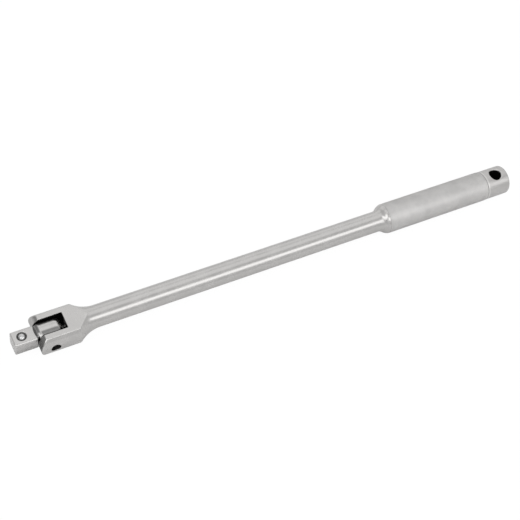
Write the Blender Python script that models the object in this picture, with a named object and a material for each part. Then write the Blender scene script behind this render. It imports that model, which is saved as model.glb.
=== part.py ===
"""Swivel-head breaker bar with a 12.7 mm (half-inch) square drive.

One forged and turned bar ends in a fork. A drive head turns in the fork about a
pressed-in pin. A sprung plunger in the bottom of the fork's slot presses on the
head and holds it where it is put, and a sprung ball in the drive square holds
the socket.

Frame: metres. The origin is the centre of the drive square's end face. +X runs
along the bar to the hand end, Y is the head's pivot axis and +Z is up.
"""

import math

import bpy
import bmesh
from mathutils import Vector

MM = 0.001

# Driving dimensions, in millimetres.
OVERALL_LENGTH = 424.0
GAP = 0.3

# Drive head.
SQUARE = 12.7
SQUARE_LENGTH = 16.8
SQUARE_TIP_LENGTH = 0.9
SQUARE_TIP_DROP = 0.8
SQUARE_REAR_CHAMFER = 0.7
SQUARE_EDGE_ROUND = 1.0
NECK_END = 18.6
NECK_RADIUS = 5.9
KNUCKLE_RADIUS = 8.6
KNUCKLE_WIDTH = 12.7
KNUCKLE_FRONT_ROUND = 1.5
KNUCKLE_REAR_FILLET = 6.5
KNUCKLE_SWING_RADIUS = 10.2
PIVOT_X = 27.0

# Socket-retaining ball.
DETENT_X = 6.9
DETENT_BALL_RADIUS = 3.0
DETENT_BALL_CENTRE_Z = 4.45
DETENT_BORE_RADIUS = 3.3
DETENT_BORE_FLOOR_Z = -4.6
DETENT_LIP_RADIUS = 2.65
DETENT_DISH_RADIUS = 3.65
DETENT_DISH_DEPTH = 0.4

# Fork.
FORK_RADIUS = 14.5
FORK_FRONT = 16.5
FORK_REAR = 46.4
FORK_FLAT_Z = 9.8
NOSE_RADIUS = 12.4
SLOT_WIDTH = 13.4
SLOT_END = 38.6
PIN_RADIUS = 3.5
PIN_RECESS = 3.2

# Friction plunger.
PLUNGER_RADIUS = 2.5
PLUNGER_LENGTH = 9.0
PLUNGER_SOCKET_RADIUS = 1.7
PLUNGER_SOCKET_DEPTH = 4.0
PLUNGER_BORE_END = 56.0
PLUNGER_TRAVEL = 0.6

# Shank and grip.
SHANK_RADIUS = 8.25
NECK_FLARE_RADIUS = 25.0
SHOULDER_START = 299.0
SHOULDER_FILLET = 7.5
SHOULDER_ROUND = 7.5
GRIP_RADIUS = 12.1
GRIP_END = 402.5
END_RADIUS = 11.8
END_EDGE_RADIUS = 1.4
HANG_HOLE_X = 413.3
HANG_HOLE_RADIUS = 5.1
HANG_HOLE_CHAMFER = 0.6

# Springs.
DETENT_WIRE = 0.35
DETENT_COIL_RADIUS = 2.3
DETENT_TURNS = 4.5
PLUNGER_WIRE = 0.35
PLUNGER_COIL_RADIUS = 1.05
PLUNGER_TURNS = 7.0

AROUND = 48
REACH = 40.0


def clear_scene():
    for obj in list(bpy.data.objects):
        bpy.data.objects.remove(obj)


def steel(name, colour, roughness):
    material = bpy.data.materials.new(name)
    material.use_nodes = True
    shader = material.node_tree.nodes["Principled BSDF"]
    shader.inputs["Base Color"].default_value = (*colour, 1.0)
    shader.inputs["Roughness"].default_value = roughness
    shader.inputs["Metallic"].default_value = 1.0
    return material


def make_object(name, bm, origin=(0.0, 0.0, 0.0)):
    """Turns a bmesh in millimetres into an object in metres, with its origin at the given point."""
    bmesh.ops.recalc_face_normals(bm, faces=bm.faces)
    bmesh.ops.translate(bm, verts=bm.verts, vec=-Vector(origin))
    bmesh.ops.scale(bm, verts=bm.verts, vec=(MM, MM, MM))
    mesh = bpy.data.meshes.new(name)
    bm.to_mesh(mesh)
    bm.free()
    obj = bpy.data.objects.new(name, mesh)
    obj.location = Vector(origin) * MM
    bpy.context.scene.collection.objects.link(obj)
    return obj


def hide(cutter):
    cutter.hide_render = True
    cutter.display_type = "WIRE"
    return cutter


def combine(target, other, operation):
    """Cuts, joins or intersects target with a helper object, which stays hidden."""
    hide(other)
    modifier = target.modifiers.new(other.name, "BOOLEAN")
    modifier.operation = operation
    modifier.solver = "EXACT"
    modifier.object = other


def finish(obj, material):
    obj.data.materials.append(material)
    obj.data.shade_smooth()
    obj.data.set_sharp_from_angle(angle=math.radians(35))
    return obj


def arc(centre, radius, start, end, steps):
    """Points on an arc in the profile plane, from one angle to another, in degrees."""
    points = []
    for i in range(steps + 1):
        angle = math.radians(start + (end - start) * i / steps)
        points.append((centre[0] + radius * math.cos(angle), centre[1] + radius * math.sin(angle)))
    return points


def axis_vectors(axis):
    """The turning axis and two directions square to it."""
    along = Vector(axis)
    side = Vector((0, 1, 0)) if abs(along.y) < 0.5 else Vector((0, 0, 1))
    return along, side, along.cross(side)


def turned_bmesh(profile, axis=(1, 0, 0), base=(0, 0, 0), around=AROUND):
    """A solid of revolution. Profile points are (distance along the axis, radius), both ends closed."""
    along, side, up = axis_vectors(axis)
    base = Vector(base)
    bm = bmesh.new()
    rings = []
    for distance, radius in profile:
        ring = []
        for i in range(around):
            angle = 2 * math.pi * (i + 0.5) / around
            spoke = side * math.cos(angle) + up * math.sin(angle)
            ring.append(bm.verts.new(base + along * distance + spoke * radius))
        rings.append(ring)
    for lower, upper in zip(rings, rings[1:]):
        for i in range(around):
            j = (i + 1) % around
            bm.faces.new((lower[i], lower[j], upper[j], upper[i]))
    bm.faces.new(rings[0])
    bm.faces.new(rings[-1])
    return bm


def turned(name, profile, **placing):
    return make_object(name, turned_bmesh(profile, **placing))


def block(name, low, high):
    bm = bmesh.new()
    bmesh.ops.create_cube(bm, size=1.0)
    size = Vector(high) - Vector(low)
    bmesh.ops.scale(bm, verts=bm.verts, vec=size)
    bmesh.ops.translate(bm, verts=bm.verts, vec=(Vector(high) + Vector(low)) / 2)
    return make_object(name, bm)


def slab_across(name, outline, half_width):
    """A closed outline of (x, z) points extruded across Y."""
    bm = bmesh.new()
    face = bm.faces.new([bm.verts.new((x, -half_width, z)) for x, z in outline])
    swept = bmesh.ops.extrude_face_region(bm, geom=[face])
    moved = [item for item in swept["geom"] if isinstance(item, bmesh.types.BMVert)]
    bmesh.ops.translate(bm, verts=moved, vec=(0, 2 * half_width, 0))
    return make_object(name, bm)


def bar_profile():
    """The bar's outline from the fork's front to the hand end, as (x, radius)."""
    front_chamfer = 1.0
    corner_round = 0.8
    # The flare sweeps from the fork's rear corner and meets the shank as a tangent.
    flare_centre_y = SHANK_RADIUS + NECK_FLARE_RADIUS
    drop = flare_centre_y - FORK_RADIUS
    flare_run = math.sqrt(NECK_FLARE_RADIUS**2 - drop**2)
    flare_end = FORK_REAR + flare_run
    flare_start_angle = math.degrees(math.atan2(drop, flare_run)) - 180
    points = [
        (FORK_FRONT - 0.4, FORK_RADIUS - front_chamfer - 0.4),
        (FORK_FRONT + front_chamfer, FORK_RADIUS),
        (FORK_REAR - corner_round, FORK_RADIUS),
    ]
    flare = arc((flare_end, flare_centre_y), NECK_FLARE_RADIUS, flare_start_angle, -90, 12)
    points += [(FORK_REAR + 0.25, FORK_RADIUS - 0.3)]
    points += [point for point in flare if point[1] < FORK_RADIUS - 0.6]
    # The shoulder is a concave fillet off the shank, then a convex round into the grip.
    bends = SHOULDER_FILLET + SHOULDER_ROUND
    turn = math.acos(1 - (GRIP_RADIUS - SHANK_RADIUS) / bends)
    grip_start = SHOULDER_START + bends * math.sin(turn)
    fillet_centre = (SHOULDER_START, SHANK_RADIUS + SHOULDER_FILLET)
    round_centre = (grip_start, GRIP_RADIUS - SHOULDER_ROUND)
    points += arc(fillet_centre, SHOULDER_FILLET, -90, -90 + math.degrees(turn), 5)
    points += arc(round_centre, SHOULDER_ROUND, 90 + math.degrees(turn), 90, 5)[1:]
    points += [
        (GRIP_END - 0.5, GRIP_RADIUS),
        (GRIP_END + 0.2, END_RADIUS - 0.3),
        (GRIP_END + 0.9, END_RADIUS),
    ]
    end_centre = (OVERALL_LENGTH - END_EDGE_RADIUS, END_RADIUS - END_EDGE_RADIUS)
    points += arc(end_centre, END_EDGE_RADIUS, 90, 0, 4)
    return points


def make_bar(material):
    bar = turned("bar", bar_profile())
    for side in (-1, 1):
        near, far = sorted((side * FORK_FLAT_Z, side * REACH))
        label = "upper" if side > 0 else "lower"
        flat = block(f"cut_{label}_flat", (0, -REACH, near), (60, REACH, far))
        combine(bar, flat, "DIFFERENCE")
    half = SLOT_WIDTH / 2
    combine(bar, block("cut_slot", (0, -half, -REACH), (SLOT_END, half, REACH)), "DIFFERENCE")
    nose_centre = FORK_FRONT + NOSE_RADIUS
    outline = [(0, REACH), (0, -REACH), (nose_centre, -REACH)]
    outline += arc((nose_centre, 0), NOSE_RADIUS, 270, 90, 24)
    outline += [(nose_centre, REACH)]
    combine(bar, slab_across("cut_nose", outline, REACH), "DIFFERENCE")
    pin_hole = [(-REACH, PIN_RADIUS + GAP / 3), (REACH, PIN_RADIUS + GAP / 3)]
    pin_bore = turned("cut_pin_bore", pin_hole, axis=(0, 1, 0), base=(PIVOT_X, 0, 0), around=40)
    combine(bar, pin_bore, "DIFFERENCE")
    bore_radius = PLUNGER_RADIUS + GAP / 3
    plunger_bore = [(SLOT_END - 3, bore_radius), (PLUNGER_BORE_END, bore_radius), (PLUNGER_BORE_END + 1.4, 0.2)]
    combine(bar, turned("cut_plunger_bore", plunger_bore, around=32), "DIFFERENCE")
    depth = END_RADIUS - HANG_HOLE_CHAMFER
    flare = 3.0
    hole = [
        (-depth - flare, HANG_HOLE_RADIUS + flare),
        (-depth, HANG_HOLE_RADIUS),
        (depth, HANG_HOLE_RADIUS),
        (depth + flare, HANG_HOLE_RADIUS + flare),
    ]
    hang_hole = turned("cut_hang_hole", hole, axis=(0, 0, 1), base=(HANG_HOLE_X, 0, 0), around=48)
    combine(bar, hang_hole, "DIFFERENCE")
    return finish(bar, material)


def square_outline(half):
    """A square across YZ with rounded corners, as (y, z) points."""
    corner = half - SQUARE_EDGE_ROUND
    outline = []
    for start, y, z in ((0, 1, 1), (90, -1, 1), (180, -1, -1), (270, 1, -1)):
        outline += arc((y * corner, z * corner), SQUARE_EDGE_ROUND, start, start + 90, 3)
    return outline


def square_bar(name):
    """The drive square, with a sloped lead-in at its tip and a small slope at its rear."""
    half = SQUARE / 2
    bm = bmesh.new()
    rings = []
    stations = (
        (0, half - SQUARE_TIP_DROP),
        (SQUARE_TIP_LENGTH, half),
        (SQUARE_LENGTH - SQUARE_REAR_CHAMFER, half),
        (SQUARE_LENGTH, half - SQUARE_REAR_CHAMFER),
    )
    for x, size in stations:
        rings.append([bm.verts.new((x, y, z)) for y, z in square_outline(size)])
    for lower, upper in zip(rings, rings[1:]):
        for i in range(len(lower)):
            j = (i + 1) % len(lower)
            bm.faces.new((lower[i], lower[j], upper[j], upper[i]))
    bm.faces.new(rings[0])
    bm.faces.new(rings[-1])
    return make_object(name, bm)


def head_profile():
    """The turned part of the head: a waist behind the square, then the knuckle with a rounded rear."""
    waist_centre = (SQUARE_LENGTH + NECK_END) / 2
    waist_half = (NECK_END - SQUARE_LENGTH) / 2
    rear = PIVOT_X + KNUCKLE_SWING_RADIUS
    points = [(SQUARE_LENGTH - 3.0, NECK_RADIUS - 0.3), (SQUARE_LENGTH - 0.6, NECK_RADIUS - 0.3)]
    points += arc((waist_centre, NECK_RADIUS + waist_half), waist_half, 220, 330, 6)
    front_centre = (NECK_END + KNUCKLE_FRONT_ROUND, KNUCKLE_RADIUS - KNUCKLE_FRONT_ROUND)
    points += arc(front_centre, KNUCKLE_FRONT_ROUND, 180, 90, 4)
    fillet_centre = (rear - KNUCKLE_REAR_FILLET, KNUCKLE_RADIUS - KNUCKLE_REAR_FILLET)
    points += arc(fillet_centre, KNUCKLE_REAR_FILLET, 90, 0, 8)
    return points


def make_head(material):
    head = turned("drive_head", head_profile())
    square = square_bar("drive_square")
    combine(head, square, "UNION")
    half = KNUCKLE_WIDTH / 2
    rear = PIVOT_X + KNUCKLE_SWING_RADIUS
    for side in (-1, 1):
        near, far = sorted((side * half, side * REACH))
        label = "left" if side > 0 else "right"
        flat = block(f"cut_{label}_flat", (SQUARE_LENGTH + 0.2, near, -REACH), (REACH + 10, far, REACH))
        combine(head, flat, "DIFFERENCE")
    outline = arc((PIVOT_X, 0), KNUCKLE_SWING_RADIUS, -90, 90, 24)
    outline += [(PIVOT_X, REACH), (rear + 10, REACH), (rear + 10, -REACH), (PIVOT_X, -REACH)]
    combine(head, slab_across("cut_knuckle_rear", outline, REACH), "DIFFERENCE")
    bore = [(-REACH, PIN_RADIUS + GAP), (REACH, PIN_RADIUS + GAP)]
    combine(head, turned("cut_head_bore", bore, axis=(0, 1, 0), base=(PIVOT_X, 0, 0), around=40), "DIFFERENCE")
    top = SQUARE / 2
    dish_slope = DETENT_DISH_DEPTH / (DETENT_DISH_RADIUS - DETENT_LIP_RADIUS)
    ball_bore = [
        (DETENT_BORE_FLOOR_Z, DETENT_BORE_RADIUS),
        (top - 1.5, DETENT_BORE_RADIUS),
        (top - DETENT_DISH_DEPTH, DETENT_LIP_RADIUS),
        (top + 2.0, DETENT_DISH_RADIUS + 2.0 / dish_slope),
    ]
    placing = {"axis": (0, 0, 1), "base": (DETENT_X, 0, 0), "around": 32}
    combine(head, turned("cut_ball_bore", ball_bore, **placing), "DIFFERENCE")
    return finish(head, material)


def make_pin(material):
    """The pivot pin, pressed through both cheeks and the knuckle, its ends below the surface."""
    half = FORK_RADIUS - PIN_RECESS
    chamfer = 0.5
    profile = [
        (-half, PIN_RADIUS - chamfer),
        (-half + chamfer, PIN_RADIUS),
        (half - chamfer, PIN_RADIUS),
        (half, PIN_RADIUS - chamfer),
    ]
    bm = turned_bmesh(profile, axis=(0, 1, 0), base=(PIVOT_X, 0, 0), around=40)
    return finish(make_object("pivot_pin", bm, origin=(PIVOT_X, 0, 0)), material)


def make_detent_ball(material):
    bm = bmesh.new()
    bmesh.ops.create_uvsphere(bm, u_segments=24, v_segments=14, radius=DETENT_BALL_RADIUS)
    centre = (DETENT_X, 0, DETENT_BALL_CENTRE_Z)
    bmesh.ops.translate(bm, verts=bm.verts, vec=centre)
    return finish(make_object("detent_ball", bm, origin=centre), material)


def make_plunger(material):
    """The friction plunger: a domed pin with a socket in its tail for the spring."""
    tip = PIVOT_X + KNUCKLE_SWING_RADIUS + GAP
    dome = arc((tip + PLUNGER_RADIUS, 0), PLUNGER_RADIUS, 170, 90, 8)
    tail = tip + PLUNGER_LENGTH
    profile = dome + [(tail - 0.3, PLUNGER_RADIUS), (tail, PLUNGER_RADIUS - 0.3)]
    bm = turned_bmesh(profile, around=32)
    plunger = make_object("friction_plunger", bm, origin=(tip, 0, 0))
    socket = [(tail - PLUNGER_SOCKET_DEPTH, PLUNGER_SOCKET_RADIUS), (tail + 2, PLUNGER_SOCKET_RADIUS)]
    combine(plunger, turned("cut_plunger_socket", socket, around=24), "DIFFERENCE")
    return finish(plunger, material)


def make_spring(name, material, base, axis, length, coil_radius, wire, turns):
    """A round-wire coil from base along axis, its length measured over the wire at both ends."""
    along, side, up = axis_vectors(axis)
    base = Vector(base)
    sides = 6
    steps = int(turns * 12)
    pitch = (length - 2 * wire) / turns
    climb = math.atan2(pitch, 2 * math.pi * coil_radius)
    bm = bmesh.new()
    rings = []
    for step in range(steps + 1):
        angle = 2 * math.pi * turns * step / steps
        spoke = side * math.cos(angle) + up * math.sin(angle)
        heading = up * math.cos(angle) - side * math.sin(angle)
        normal = along * math.cos(climb) - heading * math.sin(climb)
        centre = base + along * (wire + pitch * turns * step / steps) + spoke * coil_radius
        ring = []
        for i in range(sides):
            turn = 2 * math.pi * i / sides
            ring.append(bm.verts.new(centre + (spoke * math.cos(turn) + normal * math.sin(turn)) * wire))
        rings.append(ring)
    for lower, upper in zip(rings, rings[1:]):
        for i in range(sides):
            j = (i + 1) % sides
            bm.faces.new((lower[i], lower[j], upper[j], upper[i]))
    bm.faces.new(rings[0])
    bm.faces.new(rings[-1])
    return finish(make_object(name, bm, origin=base), material)


def make_springs(material):
    ball_bottom = DETENT_BALL_CENTRE_Z - math.sqrt(DETENT_BALL_RADIUS**2 - DETENT_COIL_RADIUS**2)
    floor = DETENT_BORE_FLOOR_Z + GAP
    make_spring(
        "detent_spring",
        material,
        base=(DETENT_X, 0, floor),
        axis=(0, 0, 1),
        length=ball_bottom - GAP - floor,
        coil_radius=DETENT_COIL_RADIUS,
        wire=DETENT_WIRE,
        turns=DETENT_TURNS,
    )
    socket_floor = PIVOT_X + KNUCKLE_SWING_RADIUS + GAP + PLUNGER_LENGTH - PLUNGER_SOCKET_DEPTH
    start = socket_floor + PLUNGER_TRAVEL + GAP
    make_spring(
        "plunger_spring",
        material,
        base=(start, 0, 0),
        axis=(1, 0, 0),
        length=PLUNGER_BORE_END - GAP - start,
        coil_radius=PLUNGER_COIL_RADIUS,
        wire=PLUNGER_WIRE,
        turns=PLUNGER_TURNS,
    )


def main():
    clear_scene()
    bpy.context.scene.unit_settings.system = "METRIC"
    satin_chrome = steel("satin_chrome", (0.62, 0.61, 0.60), 0.30)
    head_chrome = steel("head_chrome", (0.66, 0.65, 0.64), 0.24)
    dark_steel = steel("dark_steel", (0.20, 0.20, 0.20), 0.40)
    ball_steel = steel("ball_steel", (0.75, 0.75, 0.75), 0.12)
    spring_steel = steel("spring_steel", (0.40, 0.40, 0.41), 0.30)
    make_bar(satin_chrome)
    make_head(head_chrome)
    make_pin(dark_steel)
    make_detent_ball(ball_steel)
    make_plunger(dark_steel)
    make_springs(spring_steel)


main()
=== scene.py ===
"""Looks of the swivel-head breaker bar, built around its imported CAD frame.

The CAD's bar, drive head, detent ball and both springs are replaced by finer pieces of the
same size. The pivot pin and the friction plunger stay, with their own steels. The object's
sizes and places are millimetres in the row frame, until add_mesh turns them into metres.
The lights and the camera are in metres. The near side is -Y.
"""

import math

import bpy
import numpy as np
from mathutils import Euler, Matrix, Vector


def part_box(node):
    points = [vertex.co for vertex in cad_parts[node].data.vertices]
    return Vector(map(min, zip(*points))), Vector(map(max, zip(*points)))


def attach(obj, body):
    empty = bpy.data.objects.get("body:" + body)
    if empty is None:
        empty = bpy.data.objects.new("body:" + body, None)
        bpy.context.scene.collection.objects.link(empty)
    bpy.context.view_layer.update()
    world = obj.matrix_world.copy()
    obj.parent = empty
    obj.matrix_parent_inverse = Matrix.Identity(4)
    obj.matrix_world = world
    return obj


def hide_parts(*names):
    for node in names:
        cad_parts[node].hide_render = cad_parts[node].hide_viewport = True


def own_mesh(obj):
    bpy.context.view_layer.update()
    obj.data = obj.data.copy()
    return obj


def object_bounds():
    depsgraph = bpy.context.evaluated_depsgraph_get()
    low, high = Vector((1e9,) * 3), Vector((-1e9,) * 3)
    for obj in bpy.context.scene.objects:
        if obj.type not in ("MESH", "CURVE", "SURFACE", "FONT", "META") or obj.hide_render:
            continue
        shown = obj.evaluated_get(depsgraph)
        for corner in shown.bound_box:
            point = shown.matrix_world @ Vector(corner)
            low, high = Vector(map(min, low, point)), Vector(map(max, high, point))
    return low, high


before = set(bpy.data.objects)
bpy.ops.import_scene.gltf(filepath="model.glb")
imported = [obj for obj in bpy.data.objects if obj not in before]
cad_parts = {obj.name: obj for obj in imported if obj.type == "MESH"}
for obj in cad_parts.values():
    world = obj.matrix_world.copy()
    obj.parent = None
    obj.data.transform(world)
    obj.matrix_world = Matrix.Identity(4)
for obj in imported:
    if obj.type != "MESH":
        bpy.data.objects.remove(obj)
CAD_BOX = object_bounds()
MM = 0.001

# ---------------------------------------------------------------- sizes, in millimetres

# The whole bar.
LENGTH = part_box("bar")[1].x / MM
FORK_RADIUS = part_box("bar")[1].y / MM
GRIP_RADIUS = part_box("bar")[1].z / MM
SHANK_RADIUS = 8.25
PIVOT_X = 27.0

# The drive square, which runs on a little way inside the knuckle.
SQUARE_HALF = 6.35
SQUARE_END = 16.8
SQUARE_OVERLAP = 1.5
SQUARE_CORNER_ROUND = 2.0
SQUARE_TIP_ROUND = 1.0

# The waist, a notch on both sides between the square and the knuckle.
WAIST_X = 17.7
WAIST_HALF = 0.9
WAIST_SIDE = 5.0
NECK_RADIUS = 5.9
NECK_FILLET = 0.35

# The knuckle, turned round about X and again about the pivot pin.
KNUCKLE_RADIUS = 8.6
KNUCKLE_HALF = 6.35
KNUCKLE_SWING = 10.2
KNUCKLE_REAR_ROUND = 6.5
KNUCKLE_FRONT = 16.0
KNUCKLE_FRONT_ROUND = 3.0
KNUCKLE_SIDE_ROUND = 0.6
KNUCKLE_SWING_ROUND = 0.5
KNUCKLE_BORE_RADIUS = 3.8

# The detent ball and its well, which narrows to a lip under a shallow dish.
DETENT_X = 6.9
BALL_RADIUS = 3.0
BALL_Z = 4.45
WELL_RADIUS = 3.3
WELL_FLOOR_Z = -4.6
LIP_RADIUS = 2.65
LIP_START_Z = 4.85
LIP_END_Z = 5.95
DISH_RADIUS = 3.6
DISH_Z = 5.7

# The fork: two cheeks with round noses on each side of a slot.
FORK_FRONT = 16.5
FORK_REAR = 46.4
FORK_FLAT = 9.8
NOSE_RADIUS = 12.4
NOSE_EDGE = 0.7
SLOT_HALF = 6.7
SLOT_END = 38.6
SLOT_EDGE = 0.25
PIN_HOLE_RADIUS = 3.6
PLUNGER_BORE_RADIUS = 2.6
PLUNGER_BORE_START = SLOT_END - 1
PLUNGER_BORE_END = 56.0

# The concave flare from the fork to the shank, and the shoulder from the shank to the grip.
FLARE_RADIUS = 25.0
FLARE_EDGE = 0.5
FLARE_DROP = SHANK_RADIUS + FLARE_RADIUS - FORK_RADIUS
FLARE_END = FORK_REAR + math.sqrt(FLARE_RADIUS**2 - FLARE_DROP**2)
SHOULDER_START = 299.0
SHOULDER_FILLET = 7.5
SHOULDER_ROUND = 7.5
SHOULDER_TURN = math.acos(1 - (GRIP_RADIUS - SHANK_RADIUS) / (SHOULDER_FILLET + SHOULDER_ROUND))

# The grip and the drilled hand end.
GRIP_START = SHOULDER_START + (SHOULDER_FILLET + SHOULDER_ROUND) * math.sin(SHOULDER_TURN)
GRIP_END = 402.5
END_RADIUS = 11.8
END_ROUND = 1.4
HOLE_X = 413.3
HOLE_RADIUS = 5.1
HOLE_ROUND = 1.0

# The springs.
SPRING_WIRE_RADIUS = 0.35
SPRING_END_PITCH = 2.45 * SPRING_WIRE_RADIUS
DETENT_SPRING_Z = -4.3
DETENT_SPRING_TOP = 2.224
DETENT_COIL_RADIUS = 2.3
DETENT_COIL_TURNS = 6
PLUNGER_SPRING_X = 43.4
PLUNGER_SPRING_GAP = 0.3
PLUNGER_COIL_RADIUS = 1.05
PLUNGER_COIL_TURNS = 9

# The rounding of edges that are only deburred, the smallest first.
FINE_EDGE = 0.1
BORE_EDGE = 0.15
SMALL_EDGE = 0.2
PLAIN_EDGE = 0.3

# Where one visual piece of the bar ends and the next begins.
FORK_PIECE_END = 60.0
GRIP_PIECE_START = GRIP_START - 1.9
END_PIECE_START = 404.0

# The knurl: diamonds rolled into the grip between two fine grooves. It runs out at both ends.
KNURL_AROUND = 72
KNURL_PITCH = 1.5
KNURL_DEPTH = 0.27
KNURL_START = GRIP_START - 0.5
KNURL_END = GRIP_END - 0.4
KNURL_RUN_OUT = 0.7

# How high a diamond stands at its grooves, halfway up and at its crest, as a share of the depth.
KNURL_SLOPE = (0.0, 0.62, 1.0)

# The two fine grooves, ring by ring: how far it is past GRIP_PIECE_START or KNURL_END, how deep it lies,
# how exposed it is, from 0 where the most painted shade goes to 1 where hands rub, and how dark its painted
# shade is.
GROOVE_BEFORE = (
    (0.00, 0.00, 0.4, 0.00),
    (0.18, 0.02, 0.3, 0.00),
    (0.30, 0.32, 0.0, 0.15),
    (0.42, 0.38, 0.0, 0.20),
    (0.54, 0.32, 0.0, 0.15),
    (0.70, 0.00, 0.4, 0.00),
    (1.20, 0.00, 0.4, 0.00),
)
GROOVE_AFTER = (
    (0.15, 0.45, 0.0, 0.35),
    (0.40, 0.45, 0.0, 0.35),
    (0.55, 0.10, 0.1, 0.15),
    (0.80, 0.00, 0.5, 0.00),
    (END_PIECE_START - KNURL_END, 0.00, 0.5, 0.00),
)

# Painted shade on the head, along X: between which places it grows, and between which it fades.
NECK_SHADE = ((16.0, 16.4), (19.0, 19.9))
KNUCKLE_SHADE = ((20.0, 21.0), (32.5, 34.0))
# A lighter ring of painted highlight in the neck's painted shade.
SHEEN_RING_X = 17.5
SHEEN_RING_WIDTH = 0.25

# How sharply a surface turns, per millimetre, where wear or painted shade starts and where it is full: wear
# on outer edges, and painted shade in corners.
WORN_TURN = (0.25, 1.6)
SHADE_TURN = (0.3, 1.5)


# ---------------------------------------------------------------- shapes as distance fields


def both(a, b, radius):
    """Where two shapes overlap, with the outer edge between them rounded."""
    rounded = np.hypot(np.maximum(a + radius, 0), np.maximum(b + radius, 0))
    return np.minimum(np.maximum(a, b), -radius) + rounded


def either(a, b, radius):
    """Two shapes joined, with a fillet in the corner between them."""
    filleted = np.hypot(np.maximum(radius - a, 0), np.maximum(radius - b, 0))
    return np.maximum(np.minimum(a, b), radius) - filleted


def from_nose(x, z):
    """Distance from the line about which the fork's noses are rounded, and |z| behind it."""
    return np.hypot(np.minimum(x - FORK_FRONT - NOSE_RADIUS, 0), z)


def fork_field(x, y, z):
    """The fork with its slot, pin hole and plunger bore, and the flare behind it."""
    around = np.hypot(y, z)
    arc = FLARE_RADIUS - np.hypot(x - FLARE_END, around - SHANK_RADIUS - FLARE_RADIUS)
    flare = np.where(x > FLARE_END, around - SHANK_RADIUS, arc)
    body = both(around - FORK_RADIUS, flare, FLARE_EDGE)
    in_front = x - FORK_FRONT - NOSE_RADIUS < 0
    nose = np.where(in_front, from_nose(x, z), 0) - NOSE_RADIUS
    shape = both(body, nose, NOSE_EDGE)
    shape = both(shape, np.abs(z) - FORK_FLAT, PLAIN_EDGE)
    slot = both(np.abs(y) - SLOT_HALF, x - SLOT_END, SLOT_EDGE)
    shape = both(shape, -slot, SLOT_EDGE)
    pin_hole = np.hypot(x - PIVOT_X, z) - PIN_HOLE_RADIUS
    shape = both(shape, -pin_hole, SLOT_EDGE)
    bore = both(around - PLUNGER_BORE_RADIUS, x - PLUNGER_BORE_END, PLAIN_EDGE)
    bore = both(bore, PLUNGER_BORE_START - x, FINE_EDGE)
    return both(shape, -bore, BORE_EDGE)


def square_field(x, y, z):
    square = both(np.abs(y) - SQUARE_HALF, np.abs(z) - SQUARE_HALF, SQUARE_CORNER_ROUND)
    square = both(square, -x, SQUARE_TIP_ROUND)
    return both(square, x - SQUARE_END - SQUARE_OVERLAP, PLAIN_EDGE)


def knuckle_field(x, around, z):
    knuckle = both(around - KNUCKLE_RADIUS, x - PIVOT_X - KNUCKLE_SWING, KNUCKLE_REAR_ROUND)
    knuckle = both(knuckle, KNUCKLE_FRONT - x, KNUCKLE_FRONT_ROUND)
    from_pivot = np.where(x > PIVOT_X, np.hypot(x - PIVOT_X, z), np.abs(z))
    return both(knuckle, from_pivot - KNUCKLE_SWING, KNUCKLE_SWING_ROUND)


def well_field(x, y, z):
    """The detent ball's well, from its floor through the lip to the dish round its mouth."""
    from_ball = np.hypot(x - DETENT_X, y)
    radius = np.interp(z, (LIP_START_Z, LIP_END_Z), (WELL_RADIUS, LIP_RADIUS))
    well = both(from_ball - radius, WELL_FLOOR_Z - z, PLAIN_EDGE)
    dish = both(from_ball - DISH_RADIUS, DISH_Z - z, PLAIN_EDGE)
    return either(well, dish, FINE_EDGE)


def head_field(x, y, z):
    """The drive square, waist and knuckle in one, with the pin's bore and the ball's well."""
    around = np.hypot(y, z)
    shape = either(square_field(x, y, z), knuckle_field(x, around, z), NECK_FILLET)
    shape = both(shape, np.abs(y) - KNUCKLE_HALF, KNUCKLE_SIDE_ROUND)
    waist = both(NECK_RADIUS - around, np.abs(x - WAIST_X) - WAIST_HALF, SMALL_EDGE)
    waist = both(waist, WAIST_SIDE - np.abs(y), PLAIN_EDGE)
    shape = both(shape, -waist, SMALL_EDGE)
    pin_bore = np.hypot(x - PIVOT_X, z) - KNUCKLE_BORE_RADIUS
    shape = both(shape, -pin_bore, PLAIN_EDGE)
    return both(shape, -well_field(x, y, z), SMALL_EDGE)


def ball_field(x, y, z):
    return np.sqrt((x - DETENT_X) ** 2 + y**2 + (z - BALL_Z) ** 2) - BALL_RADIUS


def end_field(x, y, z):
    """The smooth hand end with its cross hole."""
    around = np.hypot(y, z)
    shape = both(around - END_RADIUS, x - LENGTH, END_ROUND)
    hole = np.hypot(x - HOLE_X, y) - HOLE_RADIUS
    return both(shape, -hole, HOLE_ROUND)


# ---------------------------------------------------------------- what is painted on the shapes


def step(value, low, high):
    """0 below low, 1 above high and a smooth rise between."""
    share = np.clip((value - low) / (high - low), 0, 1)
    return share * share * (3 - 2 * share)


def band(value, rise, fall):
    """1 between two soft edges, each given as the two places between which it runs."""
    return step(value, *rise) * (1 - step(value, *fall))


def unshaded(x, y, z):
    """No painted shade anywhere."""
    return 0.0 * x


def fork_deep_shade(x, y, z):
    """Painted shade, 1 deep inside the slot, the pin's hole and the plunger's bore, and less of it on the
    slot's end wall by the plunger as a painted highlight.
    """
    depth = np.minimum(FORK_FLAT - np.abs(z), NOSE_RADIUS - from_nose(x, z))
    slot = (np.abs(y) < SLOT_HALF + 0.2) & (x < SLOT_END + 0.3)
    # A painted highlight: the end wall by the plunger keeps only a quarter of the painted shade.
    glint_wall = (x > SLOT_END - 0.2) * (1 - step(np.abs(y), 1.2, 2.2)) * (z > 0)
    in_slot = step(depth, 0.15, 1.1) * slot * (1 - 0.75 * glint_wall)
    from_side = np.sqrt(np.maximum(FORK_RADIUS**2 - z**2, 0)) - np.abs(y)
    pin_hole = np.hypot(x - PIVOT_X, z) < PIN_HOLE_RADIUS + 0.1
    in_pin_hole = 0.9 * pin_hole * step(from_side, 0.2, 0.8)
    in_bore = (np.hypot(y, z) < PLUNGER_BORE_RADIUS + 0.1) & (x > SLOT_END)
    return np.maximum(np.maximum(in_slot, in_pin_hole), in_bore)


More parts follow.
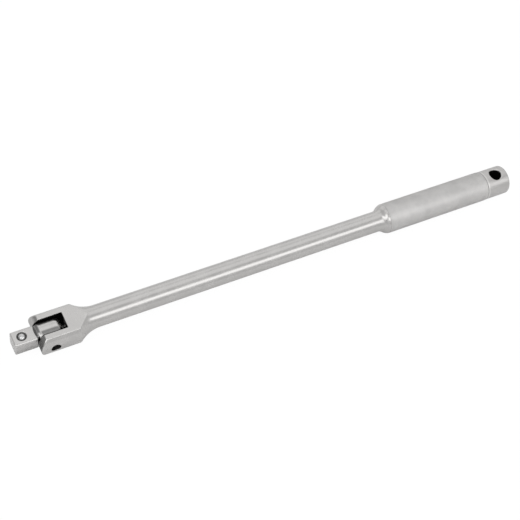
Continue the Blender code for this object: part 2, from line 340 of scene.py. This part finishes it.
def fork_painted_shade(x, y, z):
    """Painted shade on the nose of each cheek, most of it on the near one, and none on the nose's edges."""
    on_nose = step(from_nose(x, z), NOSE_RADIUS - 0.5, NOSE_RADIUS - 0.1)
    off_round = 1 - step(np.hypot(y, z), FORK_RADIUS - 0.7, FORK_RADIUS - 0.2)
    off_flat = 1 - step(np.abs(z), FORK_FLAT - 0.5, FORK_FLAT - 0.1)
    # The near nose is painted much darker than the far one, as shade.
    near = 0.98 - 0.3 * step(z, 5.0, 8.0)
    far = 0.12 + 0.22 * step(z, 5.5, 7.5)
    return on_nose * off_round * off_flat * np.where(y < 0, near, far)


def head_deep_shade(x, y, z):
    """Painted shade: 1 in the pin's bore and the waist's notches, and nearly as much in the ball's well."""
    in_bore = np.hypot(x - PIVOT_X, z) < KNUCKLE_BORE_RADIUS + 0.2
    well = (np.hypot(x - DETENT_X, y) < DISH_RADIUS + 0.15) * (z > WELL_FLOOR_Z - 0.4)
    in_well = 0.8 * well * step(SQUARE_HALF - z, 0.15, 0.8)
    notch = (np.abs(x - WAIST_X) < WAIST_HALF + 0.2) * (np.abs(y) > WAIST_SIDE - 0.1)
    notch = notch * (np.hypot(y, z) < NECK_RADIUS + 0.4)
    in_notch = notch * step(SQUARE_HALF - np.abs(y), 0.05, 0.3)
    return np.maximum(np.maximum(in_bore, in_well), in_notch)


def head_painted_shade(x, y, z):
    """Painted shade round the neck, with a lighter ring of painted highlight and an unshaded patch for a
    glint in it, along the near side of the knuckle, and low down on the near side of the square."""
    # A painted highlight ring, and a patch left without painted shade where the end light's glint falls.
    sheen_ring = np.exp(-(((x - SHEEN_RING_X) / SHEEN_RING_WIDTH) ** 2))
    sheen_ring = sheen_ring * (1 - step(x, SHEEN_RING_X, SHEEN_RING_X + 0.5))
    glint_patch = step(x, 17.9, 18.4) * step(-y, 2.3, 3.1) * (z > 0)
    neck = band(x, *NECK_SHADE) * step(np.hypot(y, z), NECK_RADIUS + 0.4, NECK_RADIUS + 0.6)
    neck = neck * step(KNUCKLE_HALF - np.abs(y), 0.3, 1.2)
    neck = neck * (0.95 - 0.35 * sheen_ring) * (1 - glint_patch)
    # Painted shade as a dark streak along the near side of the knuckle, and darker towards the bottom of the
    # square's near side.
    knuckle = 0.75 * step(-y, 1.6, 2.8) * band(x, *KNUCKLE_SHADE) * (z > 5)
    square = 0.30 * step(-z, -2.0, 5.5) * step(-y, 5.5, 6.2) * (1 - step(x, 15.5, 16.5))
    return np.maximum(np.maximum(neck, knuckle), square)


def end_deep_shade(x, y, z):
    """Painted shade, 1 deep inside the hand end's hole."""
    depth = np.sqrt(np.maximum(END_RADIUS**2 - y**2, 0)) - np.abs(z)
    return (np.hypot(x - HOLE_X, y) < HOLE_RADIUS + 0.3) * step(depth, 0.5, 1.3)


# ---------------------------------------------------------------- meshes from fields


def add_mesh(name, points, faces, caps, material):
    """A smooth object from points in millimetres, its flat caps meeting the rest at sharp edges."""
    mesh = bpy.data.meshes.new(name)
    mesh.from_pydata((np.asarray(points) * MM).tolist(), [], faces + [list(cap) for cap in caps])
    mesh.materials.append(material)
    mesh.shade_smooth()
    mesh.update()
    ends = np.zeros(len(mesh.edges) * 2, np.int32)
    mesh.edges.foreach_get("vertices", ends)
    sharp = np.zeros(len(mesh.edges), bool)
    for cap in caps:
        sharp |= np.isin(ends, cap).reshape(-1, 2).all(1)
    mesh.edges.foreach_set("use_edge_sharp", sharp)
    obj = bpy.data.objects.new(name, mesh)
    bpy.context.scene.collection.objects.link(obj)
    return obj


def open_rim(faces):
    """The points along the one open edge of a mesh of quads."""
    edges = np.sort(np.concatenate([faces[:, [k, (k + 1) % 4]] for k in range(4)]), axis=1)
    found, used = np.unique(edges, axis=0, return_counts=True)
    return np.unique(found[used == 1])


def gradient(field, points, reach=0.02):
    """The field's slope at each point."""
    found = []
    for axis in range(3):
        ahead = points.copy()
        behind = points.copy()
        ahead[:, axis] += reach
        behind[:, axis] -= reach
        found.append((field(*ahead.T) - field(*behind.T)) / (2 * reach))
    return np.stack(found, 1)


def bend(field, points, reach=0.25):
    """How sharply the surface turns at each point, per millimetre: above 0 on edges, below 0 in corners."""
    total = -6 * field(*points.T)
    for axis in range(3):
        for side in (-reach, reach):
            moved = points.copy()
            moved[:, axis] += side
            total += field(*moved.T)
    return total / reach**2


def onto_surface(field, points, rounds):
    """Points near the field's zero surface, moved onto it."""
    flattest = 0.05
    furthest = 0.2
    for _ in range(rounds):
        slope = gradient(field, points)
        size = np.maximum((slope**2).sum(1), flattest)
        move = np.clip(field(*points.T) / size, -furthest, furthest)
        points = points - move[:, None] * slope
    return points


def relaxed(points, faces):
    """Each point moved to the mean of its neighbours."""
    total = np.zeros_like(points)
    count = np.zeros(len(points))
    for a, b in ((0, 1), (1, 2), (2, 3), (3, 0)):
        for start, end in ((a, b), (b, a)):
            np.add.at(total, faces[:, start], points[faces[:, end]])
            np.add.at(count, faces[:, start], 1)
    return total / np.maximum(count, 1)[:, None]


def crossed_cells(inside):
    """The grid's cells that the surface passes through, and each cell's number among them, or -1."""
    shape = np.array(inside.shape) - 1
    count = np.zeros(shape, np.int8)
    for i, j, k in np.ndindex(2, 2, 2):
        count += inside[i : i + shape[0], j : j + shape[1], k : k + shape[2]]
    cells = np.argwhere((count > 0) & (count < 8))
    number = np.full(shape, -1, np.int64)
    number[tuple(cells.T)] = np.arange(len(cells))
    return cells, number


def mean_crossing(value, cells):
    """Where in each cell, from 0 to 1 each way, the surface crosses the cell's edges on average."""
    total = np.zeros((len(cells), 3))
    crossings = np.zeros(len(cells))
    for corner in np.ndindex(2, 2, 2):
        for axis in range(3):
            if corner[axis]:
                continue
            start = np.array(corner)
            end = start.copy()
            end[axis] = 1
            a = value[tuple((cells + start).T)]
            b = value[tuple((cells + end).T)]
            hit = (a < 0) != (b < 0)
            share = np.where(hit, a / np.where(hit, a - b, 1), 0)
            place = start + (end - start) * share[:, None]
            total += np.where(hit[:, None], place, 0)
            crossings += hit
    return total / crossings[:, None]


def quads_between(inside, number):
    """One quad for each grid edge that the surface crosses, between the four cells round that edge."""
    faces = []
    for axis in range(3):
        one, two = [(1, 2), (2, 0), (0, 1)][axis]
        ahead = np.roll(inside, -1, axis)
        edges = np.argwhere(inside != ahead)
        keep = (edges[:, axis] < number.shape[axis]) & (edges[:, one] > 0) & (edges[:, two] > 0)
        keep &= (edges[:, one] < number.shape[one]) & (edges[:, two] < number.shape[two])
        edges = edges[keep]
        ring = []
        for back_one, back_two in ((1, 1), (0, 1), (0, 0), (1, 0)):
            at = edges.copy()
            at[:, one] -= back_one
            at[:, two] -= back_two
            ring.append(number[tuple(at.T)])
        quads = np.stack(ring, 1)
        leaving = inside[tuple(edges.T)]
        quads[~leaving] = quads[~leaving][:, ::-1]
        faces.append(quads)
    return np.concatenate(faces)


def net(field, low, high, cell):
    """A mesh of quads on the field's zero surface, by surface nets on a regular grid."""
    axes = [np.arange(a, b + cell, cell) for a, b in zip(low, high)]
    value = field(*np.meshgrid(*axes, indexing="ij"))
    inside = value < 0
    cells, number = crossed_cells(inside)
    points = np.array(low) + (cells + mean_crossing(value, cells)) * cell
    faces = quads_between(inside, number)
    points = onto_surface(field, points, 3)
    for _ in range(2):
        points = onto_surface(field, relaxed(points, faces), 2)
    return points, faces


def paint(obj, name, values):
    """Keeps one number per point on the mesh, for the material to read."""
    attribute = obj.data.attributes.new(name, "FLOAT", "POINT")
    attribute.data.foreach_set("value", np.asarray(values, np.float32))


def solid(name, field, low, high, cell, material, deep_shade=unshaded, shaded=unshaded, cut=None):
    """A meshed field between two corners, painted with the shade deep in its holes, its wear, and painted
    shade in its corners and in the places its shade function gives.

    cut says where a piece is cut square across X, as (x, radius, 1 or -1 for the way the cap faces).
    """
    points, faces = net(field, low, high, cell)
    caps = []
    if cut:
        x, radius, side = cut
        rim = open_rim(faces)
        around = np.hypot(points[rim, 1], points[rim, 2])
        points[rim] = points[rim] * (radius / around)[:, None]
        points[rim, 0] = x
        order = rim[np.argsort(side * np.arctan2(points[rim, 2], points[rim, 1]))]
        caps.append(order)
    obj = add_mesh(name, points, faces.tolist(), caps, material)
    turn = bend(field, points)
    # Painted shade deep in holes and in inward-turning corners, and wear on outer edges.
    paint(obj, "deep_shade", deep_shade(*points.T))
    paint(obj, "worn", step(turn, *WORN_TURN))
    paint(obj, "painted_shade", np.maximum(step(-turn, *SHADE_TURN), shaded(*points.T)))
    return obj


# ---------------------------------------------------------------- turned and wound meshes


def tube(rings, sides):
    """The quads that join rings of points into a tube, and the caps at its two ends."""
    row, column = np.meshgrid(np.arange(rings - 1), np.arange(sides), indexing="ij")
    first = (row * sides + column).ravel()
    second = (row * sides + (column + 1) % sides).ravel()
    quads = np.stack([first, second, second + sides, first + sides], 1)
    caps = [np.arange(sides)[::-1], np.arange(sides) + (rings - 1) * sides]
    return quads, caps


def lathe(name, stations, radii, material):
    """A surface of revolution about X. radii holds one row of radii for each station.

    A quad whose first and third corners stand level is split between them, else along its other diagonal.
    """
    level_enough = 1e-6
    around = radii.shape[1]
    angle = 2 * math.pi * np.arange(around) / around
    x = np.repeat(stations[:, None], around, 1)
    points = np.stack([x, radii * np.cos(angle), radii * np.sin(angle)], -1).reshape(-1, 3)
    quads, caps = tube(len(stations), around)
    corner = radii.ravel()[quads]
    rise = np.abs(corner[:, 0] - corner[:, 2]) - np.abs(corner[:, 1] - corner[:, 3])
    turned = rise > level_enough
    quads[turned] = np.roll(quads[turned], 1, axis=1)
    plain = np.abs(rise) < level_enough
    split = quads[~plain]
    faces = quads[plain].tolist() + split[:, [0, 1, 2]].tolist() + split[:, [0, 2, 3]].tolist()
    return add_mesh(name, points, faces, caps, material)


def coil(name, base, axis, length, coil_radius, turns, material):
    """A round-wire compression spring with closed end turns, standing on base along axis."""
    sides = 12
    rings_per_turn = 32
    wire = SPRING_WIRE_RADIUS
    turn = np.linspace(0, turns, turns * rings_per_turn + 1)
    free = length - 2 * wire
    climb = (0, SPRING_END_PITCH, free - SPRING_END_PITCH, free)
    height = wire + np.interp(turn, (0, 1, turns - 1, turns), climb)
    angle = 2 * math.pi * turn[:, None]
    round_wire = 2 * math.pi * np.arange(sides) / sides
    out = coil_radius + wire * np.cos(round_wire)
    up = height[:, None] + wire * np.sin(round_wire)
    local = [up, out * np.cos(angle), out * np.sin(angle)]
    order = {"X": (0, 1, 2), "Z": (1, 2, 0)}[axis]
    points = np.stack([local[k] for k in order], -1).reshape(-1, 3) + np.array(base)
    quads, caps = tube(len(turn), sides)
    return add_mesh(name, points, quads.tolist(), caps, material)


def flare_radius(x):
    """The bar's radius along the flare's rear part."""
    return SHANK_RADIUS + FLARE_RADIUS - np.sqrt(FLARE_RADIUS**2 - (FLARE_END - x) ** 2)


def shoulder_radius(x):
    """The bar's radius along the shoulder, from the shank's fillet to the round that meets the grip."""
    turn_x = SHOULDER_START + SHOULDER_FILLET * math.sin(SHOULDER_TURN)
    from_shank = np.clip(x - SHOULDER_START, 0, SHOULDER_FILLET)
    to_grip = np.clip(GRIP_START - x, 0, SHOULDER_ROUND)
    fillet = SHANK_RADIUS + SHOULDER_FILLET - np.sqrt(SHOULDER_FILLET**2 - from_shank**2)
    outer = GRIP_RADIUS - SHOULDER_ROUND + np.sqrt(SHOULDER_ROUND**2 - to_grip**2)
    return np.where(x < turn_x, fillet, outer)


def make_shank(material):
    """The plain turned shank, with the flare's rear part before it and the shoulder after it.

    The plain stretch's own stations keep clear of those of its neighbours.
    """
    around = 144
    flare_x = np.linspace(FORK_PIECE_END, FLARE_END, 6)
    plain_x = np.linspace(FLARE_END + 4, SHOULDER_START - 2, 24)
    shoulder_x = np.linspace(SHOULDER_START, GRIP_PIECE_START, 24)
    plain_r = np.full(len(plain_x), SHANK_RADIUS)
    stations = np.concatenate([flare_x, plain_x, shoulder_x])
    radii = np.concatenate([flare_radius(flare_x), plain_r, shoulder_radius(shoulder_x)])
    return lathe("bar_shank", stations, np.repeat(radii[:, None], around, 1), material)


def make_grip(material):
    """A grooved ring at both ends and, between them, a diamond knurl that follows the mesh's diagonals."""
    per_diamond = 4
    around = KNURL_AROUND * per_diamond
    rows = int((KNURL_END - KNURL_START) / KNURL_PITCH) * per_diamond
    i, j = np.meshgrid(np.arange(rows + 1), np.arange(around), indexing="ij")
    rising = (i + j) % per_diamond
    falling = (i - j) % per_diamond
    from_rising = np.minimum(rising, per_diamond - rising)
    from_falling = np.minimum(falling, per_diamond - falling)
    height = np.interp(np.minimum(from_rising, from_falling), (0, 1, 2), KNURL_SLOPE)
    x = np.linspace(KNURL_START, KNURL_END, rows + 1)
    starts = (KNURL_START, KNURL_START + KNURL_RUN_OUT)
    stops = (KNURL_END - KNURL_RUN_OUT, KNURL_END)
    height = band(x, starts, stops)[:, None] * height
    knurled = GRIP_RADIUS - KNURL_DEPTH + KNURL_DEPTH * height

    past_before, depth_before, exposed_before, dark_before = np.array(GROOVE_BEFORE).T
    past_after, depth_after, exposed_after, dark_after = np.array(GROOVE_AFTER).T
    x_before = GRIP_PIECE_START + past_before
    x_after = KNURL_END + past_after
    radius_before = shoulder_radius(x_before) - depth_before
    radius_after = END_RADIUS - depth_after

    def rings(before, middle, after):
        """Rows of points along the grip, with one number for each ring of the grooves."""
        first, last = (np.repeat(ring[:, None], around, 1) for ring in (before, after))
        return np.concatenate([first, middle, last])

    stations = np.concatenate([x_before, x, x_after])
    grip = lathe("bar_grip", stations, rings(radius_before, knurled, radius_after), material)
    exposed = rings(exposed_before, height, exposed_after).ravel()
    paint(grip, "worn", step(exposed, 0.7, 1.0))
    # Painted shade at the bottoms of the knurl's grooves, and dark lines of painted shade in the two fine
    # grooves.
    paint(grip, "painted_shade", step(-exposed, -0.3, 0.0))
    paint(grip, "deep_shade", rings(dark_before, np.zeros_like(height), dark_after).ravel())
    return grip


# ---------------------------------------------------------------- materials


def grey(value):
    return (value, value, value, 1.0)


def tinted(colour):
    return (*colour, 1.0)


class Nodes:
    """Short calls for building the node tree of a material or a world."""

    def __init__(self, owner):
        owner.use_nodes = True
        self.tree = owner.node_tree

    def add(self, kind, inputs=(), **settings):
        """A node of a kind, its settings, and its inputs as values or as other nodes' outputs."""
        made = self.tree.nodes.new("ShaderNode" + kind)
        for key, value in settings.items():
            setattr(made, key, value)
        for key, value in dict(inputs).items():
            self.put(made, key, value)
        return made

    def put(self, target, key, value):
        if isinstance(value, bpy.types.NodeSocket):
            self.tree.links.new(value, target.inputs[key])
        else:
            target.inputs[key].default_value = value

    def math(self, operation, a, b):
        return self.add("Math", {0: a, 1: b}, operation=operation).outputs[0]

    def ramp(self, value, low, high, start=0.0, end=1.0):
        """value carried smoothly from the range low to high onto start to end."""
        keys = {"Value": value, "From Min": low, "From Max": high, "To Min": start, "To Max": end}
        return self.add("MapRange", keys, interpolation_type="SMOOTHSTEP").outputs["Result"]

    def mix(self, share, one, two):
        """Two colours mixed. A colour Mix node has them at inputs 6 and 7, and its result at output 2."""
        return self.add("Mix", {0: share, 6: one, 7: two}, data_type="RGBA").outputs[2]

    def painted(self, name):
        """What paint kept on the mesh under this name."""
        return self.add("Attribute", attribute_name=name).outputs["Fac"]

    def noise(self, ripples, detail=3.0, roughness=0.5):
        """Noise over the piece, with so many ripples to a millimetre along X, Y and Z."""
        coordinates = self.add("TexCoord").outputs["Object"]
        scale = [part / MM for part in ripples]
        scaled = self.add("Mapping", {"Vector": coordinates, "Scale": scale})
        keys = {"Vector": scaled.outputs[0], "Scale": 1.0, "Detail": detail, "Roughness": roughness}
        return self.add("TexNoise", keys).outputs["Fac"]

    def bump(self, height):
        """A surface raised by so many millimetres."""
        return self.add("Bump", {"Height": height, "Distance": MM, "Strength": 1.0}).outputs[0]


# Turning marks run round the bar, so their ripples are close along X and long across it.
RINGS = (5.0, 0.25, 0.25)

# What specks, rubbing, painted shade and the painted shade deep in a hole each turn a plate's colour
# towards.
SPECKS = grey(0.42)
RUBBED = grey(0.84)
SHADE_GREY = grey(0.08)
DEEP_SHADE_GREY = grey(0.012)


def plated(name, colour, roughness, grain_height, shade_depth, wear, cloud=0.93):
    """Satin chrome: a dull plate with tool marks, clouds of handling, bright worn edges, and painted shade
    in corners and holes.

    The two strengths, for painted shade and for wear, are the most that each changes the colour. cloud is
    the share of the colour's value that is left in the darkest clouds.
    """
    material = bpy.data.materials.new(name)
    n = Nodes(material)
    shader = n.tree.nodes["Principled BSDF"]
    clouds = n.noise((0.09, 0.09, 0.09), 4.0, 0.6)
    specks = n.noise((2.2, 2.2, 2.2), 2.0, 0.6)
    marks = n.noise(RINGS, 3.0, 0.65)
    patches = n.ramp(n.noise((0.35, 0.35, 0.35), 4.0, 0.65), 0.3, 0.62, 0.35, 1.0)
    worn = n.math("MULTIPLY", n.painted("worn"), patches)
    painted_shade = n.painted("painted_shade")
    deep_shade = n.painted("deep_shade")

    darker = tuple(cloud * part for part in colour)
    shade = n.mix(n.ramp(clouds, 0.32, 0.68), tinted(darker), tinted(colour))
    shade = n.mix(n.ramp(specks, 0.62, 0.8, 0.0, 0.10), shade, SPECKS)
    shade = n.mix(n.math("MULTIPLY", worn, wear), shade, RUBBED)
    # Painted shade: darker in corners, grooves and shaded places, and nearly black deep in holes.
    shade = n.mix(n.math("MULTIPLY", painted_shade, shade_depth), shade, SHADE_GREY)
    shade = n.mix(deep_shade, shade, DEEP_SHADE_GREY)
    n.put(shader, "Base Color", shade)

    rough = n.ramp(clouds, 0.3, 0.7, roughness - 0.03, roughness + 0.05)
    rough = n.math("ADD", rough, n.ramp(specks, 0.4, 0.8, -0.01, 0.06))
    rough = n.math("SUBTRACT", rough, n.math("MULTIPLY", worn, 0.1))
    rough = n.math("ADD", rough, n.math("MULTIPLY", deep_shade, 0.3))
    rough = n.math("ADD", rough, n.math("MULTIPLY", painted_shade, 0.12))
    rough = n.math("ADD", rough, n.math("MULTIPLY", n.painted("dull"), 0.12))
    n.put(shader, "Roughness", rough)

    height = n.math("ADD", n.math("MULTIPLY", marks, grain_height), n.math("MULTIPLY", specks, 0.004))
    n.put(shader, "Normal", n.bump(height))
    n.put(shader, "Metallic", 1.0)
    return material


def bare(name, colour, roughness, ripples, stain):
    """Bare oiled steel with fine tool marks and stains, which darken the colour to stain times its value."""
    material = bpy.data.materials.new(name)
    n = Nodes(material)
    shader = n.tree.nodes["Principled BSDF"]
    clouds = n.noise((0.5, 0.5, 0.5), 3.0)
    marks = n.noise(ripples, 2.0, 0.6)
    darker = [stain * part for part in colour]
    n.put(shader, "Base Color", n.mix(n.ramp(clouds, 0.35, 0.7), tinted(darker), tinted(colour)))
    n.put(shader, "Roughness", n.ramp(marks, 0.2, 0.8, roughness - 0.06, roughness + 0.1))
    n.put(shader, "Normal", n.bump(n.math("MULTIPLY", marks, 0.006)))
    n.put(shader, "Metallic", 1.0)
    return material


chrome = plated("satin_chrome", (0.62, 0.61, 0.60), 0.24, 0.006, shade_depth=0.83, wear=0.15)
knurl_chrome = plated("knurl_chrome", (0.75, 0.74, 0.73), 0.44, 0.006, shade_depth=0.12, wear=0.3, cloud=0.88)
head_chrome = plated("head_chrome", (0.64, 0.63, 0.62), 0.25, 0.004, shade_depth=0.85, wear=0.15)
pin_steel = bare("dark_steel", (0.20, 0.20, 0.20), 0.40, (1.0, 5.0, 1.0), stain=0.5)
ball_steel = bare("ball_steel", (0.70, 0.70, 0.70), 0.16, (1.0, 1.0, 1.0), stain=0.8)
plunger_steel = bare("plunger_steel", (0.80, 0.80, 0.79), 0.25, RINGS, stain=0.5)
spring_steel = bare("spring_steel", (0.40, 0.40, 0.41), 0.30, (1.5, 1.5, 1.5), stain=0.6)

# ---------------------------------------------------------------- pieces

# Each solid's low and high corners leave up to a millimetre of room round it, but none where it is cut.
fork = solid(
    "bar_fork",
    fork_field,
    low=(15.5, -15.5, -10.8),
    high=(FORK_PIECE_END, 15.5, 10.8),
    cell=0.3,
    material=chrome,
    deep_shade=fork_deep_shade,
    shaded=fork_painted_shade,
    cut=(FORK_PIECE_END, flare_radius(FORK_PIECE_END), 1),
)
shank = make_shank(chrome)
grip = make_grip(knurl_chrome)
end = solid(
    "bar_end",
    end_field,
    low=(END_PIECE_START, -12.6, -12.6),
    high=(LENGTH + 0.6, 12.6, 12.6),
    cell=0.3,
    material=chrome,
    deep_shade=end_deep_shade,
    cut=(END_PIECE_START, END_RADIUS, -1),
)
paint(end, "dull", np.ones(len(end.data.vertices)))
for piece in (fork, shank, grip, end):
    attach(piece, "bar")
    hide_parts("bar")

head = solid(
    "head_body",
    head_field,
    low=(-0.8, -9.4, -9.4),
    high=(38.2, 9.4, 9.4),
    cell=0.25,
    material=head_chrome,
    deep_shade=head_deep_shade,
    shaded=head_painted_shade,
)
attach(head, "drive_head")
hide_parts("drive_head")

ball = solid(
    "ball_body",
    ball_field,
    low=(3.5, -3.4, 1.0),
    high=(10.3, 3.4, 7.9),
    cell=0.2,
    material=ball_steel,
)
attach(ball, "detent_ball")
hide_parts("detent_ball")

spring_length = DETENT_SPRING_TOP - DETENT_SPRING_Z
detent_coil = coil(
    "detent_coil",
    base=(DETENT_X, 0, DETENT_SPRING_Z),
    axis="Z",
    length=spring_length,
    coil_radius=DETENT_COIL_RADIUS,
    turns=DETENT_COIL_TURNS,
    material=spring_steel,
)
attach(detent_coil, "drive_head")
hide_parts("detent_spring")
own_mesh(detent_coil)

plunger_coil = coil(
    "plunger_coil",
    base=(PLUNGER_SPRING_X, 0, 0),
    axis="X",
    length=PLUNGER_BORE_END - PLUNGER_SPRING_GAP - PLUNGER_SPRING_X,
    coil_radius=PLUNGER_COIL_RADIUS,
    turns=PLUNGER_COIL_TURNS,
    material=spring_steel,
)
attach(plunger_coil, "bar")
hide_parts("plunger_spring")

finishes = {"pivot_pin": pin_steel, "friction_plunger": plunger_steel}
for node, material in finishes.items():
    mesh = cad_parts[node].data
    mesh.materials.clear()
    mesh.materials.append(material)

# ---------------------------------------------------------------- studio, in metres

AMBIENT = 0.665

# The floor is pale paper to the lights. What the camera sees of it is mostly an even white.
FLOOR_REACH = 6.0
FLOOR_GAP = 0.0003
FLOOR_PAPER = grey(0.84)
FLOOR_WHITE = 1.04
FLOOR_WHITE_SHARE = 0.92

# The studio is dimmer low down beyond the drive end: what share of the light is left there, and between
# which X and which Z of the direction, as parts of 1, it fades to that.
DIM_LEVEL = 0.45
DIM_ROUND = (-0.70, -0.84)
DIM_HEIGHT = (0.46, 0.30)

# The long lights lie along the bar, all at one distance from its axis.
LIGHT_DISTANCE = 1.2
LIGHT_CENTRE = Vector((0.525, 0, 0))
LIGHT_LENGTH = 1.65

END_LIGHT_PLACE = Vector((-0.55, -0.33, 0.95))
END_LIGHT_AIM = Vector((0.2, 0, 0))

# The lens and the sensor's width are in millimetres, and the turn is in degrees.
CAMERA_LENS = 77.38
CAMERA_SENSOR = 36.0
CAMERA_PLACE = (-0.111674, -0.387108, 0.693465)
CAMERA_TURN = (34.6757, -8.2053, -26.7897)


def seen_white(n, lit, white, share):
    """What the camera sees is nearly white, as a cut-out on paper. All other rays get the lit surface."""
    amount = n.math("MULTIPLY", n.add("LightPath").outputs["Is Camera Ray"], share)
    return n.add("MixShader", {0: amount, 1: lit, 2: white}).outputs[0]


def make_floor():
    """A wide sheet of paper just under the object."""
    z = CAD_BOX[0].z - FLOOR_GAP
    corners = [(FLOOR_REACH * x, FLOOR_REACH * y, z) for x, y in ((-1, -1), (1, -1), (1, 1), (-1, 1))]
    mesh = bpy.data.meshes.new("floor")
    mesh.from_pydata(corners, [], [(0, 1, 2, 3)])
    floor = bpy.data.objects.new("floor", mesh)
    bpy.context.scene.collection.objects.link(floor)
    material = bpy.data.materials.new("floor_paper")
    n = Nodes(material)
    paper = n.tree.nodes["Principled BSDF"]
    n.put(paper, "Base Color", FLOOR_PAPER)
    n.put(paper, "Roughness", 1.0)
    n.put(paper, "Specular IOR Level", 0.0)
    white = n.add("Emission", {"Strength": FLOOR_WHITE})
    surface = seen_white(n, paper.outputs[0], white.outputs[0], FLOOR_WHITE_SHARE)
    n.put(n.tree.nodes["Material Output"], "Surface", surface)
    mesh.materials.append(material)


def make_world():
    """Even light from all sides but the dim one, and pure white behind everything."""
    world = bpy.data.worlds.new("studio")
    bpy.context.scene.world = world
    n = Nodes(world)
    direction = n.add("SeparateXYZ", {0: n.add("TexCoord").outputs["Generated"]})
    beyond = n.ramp(direction.outputs["X"], *DIM_ROUND)
    below = n.ramp(direction.outputs["Z"], *DIM_HEIGHT)
    level = n.ramp(n.math("MULTIPLY", beyond, below), 0.0, 1.0, 1.0, DIM_LEVEL)
    ambient = n.tree.nodes["Background"]
    n.put(ambient, "Strength", AMBIENT)
    n.put(ambient, "Color", level)
    backdrop = n.add("Background", {"Color": grey(1.0), "Strength": 1.0})
    surface = seen_white(n, ambient.outputs[0], backdrop.outputs[0], 1.0)
    n.put(n.tree.nodes["World Output"], "Surface", surface)


def area_light(name, place, toward, size_x, size_y, radiance):
    """A rectangular light that shines along toward, as bright as radiance says whatever its size."""
    data = bpy.data.lights.new(name, "AREA")
    data.shape = "RECTANGLE"
    data.size = size_x
    data.size_y = size_y
    data.energy = radiance * math.pi * size_x * size_y
    light = bpy.data.objects.new(name, data)
    light.location = place
    light.rotation_euler = toward.to_track_quat("-Z", "Y").to_euler()
    bpy.context.scene.collection.objects.link(light)


def softbox(name, angle, width_angle, radiance):
    """A long soft light along the bar. angle runs from the near horizon, over the top, to the far one."""
    turn = math.radians(angle)
    width = 2 * LIGHT_DISTANCE * math.tan(math.radians(width_angle / 2))
    offset = Vector((0, -math.cos(turn), math.sin(turn))) * LIGHT_DISTANCE
    area_light(name, offset + LIGHT_CENTRE, -offset, LIGHT_LENGTH, width, radiance)


def make_camera():
    """A long lens on the near side, above and before the drive end."""
    data = bpy.data.cameras.new("camera")
    data.sensor_width = CAMERA_SENSOR
    data.lens = CAMERA_LENS
    data.clip_start = 0.01
    data.clip_end = 20.0
    camera = bpy.data.objects.new("camera", data)
    camera.location = Vector(CAMERA_PLACE)
    camera.rotation_euler = Euler([math.radians(angle) for angle in CAMERA_TURN])
    bpy.context.scene.collection.objects.link(camera)
    bpy.context.scene.camera = camera


make_floor()
make_world()
softbox("key_strip", angle=45, width_angle=26, radiance=0.98)
softbox("overhead", angle=107, width_angle=38, radiance=0.29)
softbox("far_fill", angle=152, width_angle=36, radiance=0.24)

# This one is above and beyond the drive end. It catches the shoulder, the knuckle's front and the ball.
area_light("end_light", END_LIGHT_PLACE, END_LIGHT_AIM - END_LIGHT_PLACE, 0.55, 0.95, 1.1)
make_camera()
bpy.context.scene.view_settings.view_transform = "Standard"
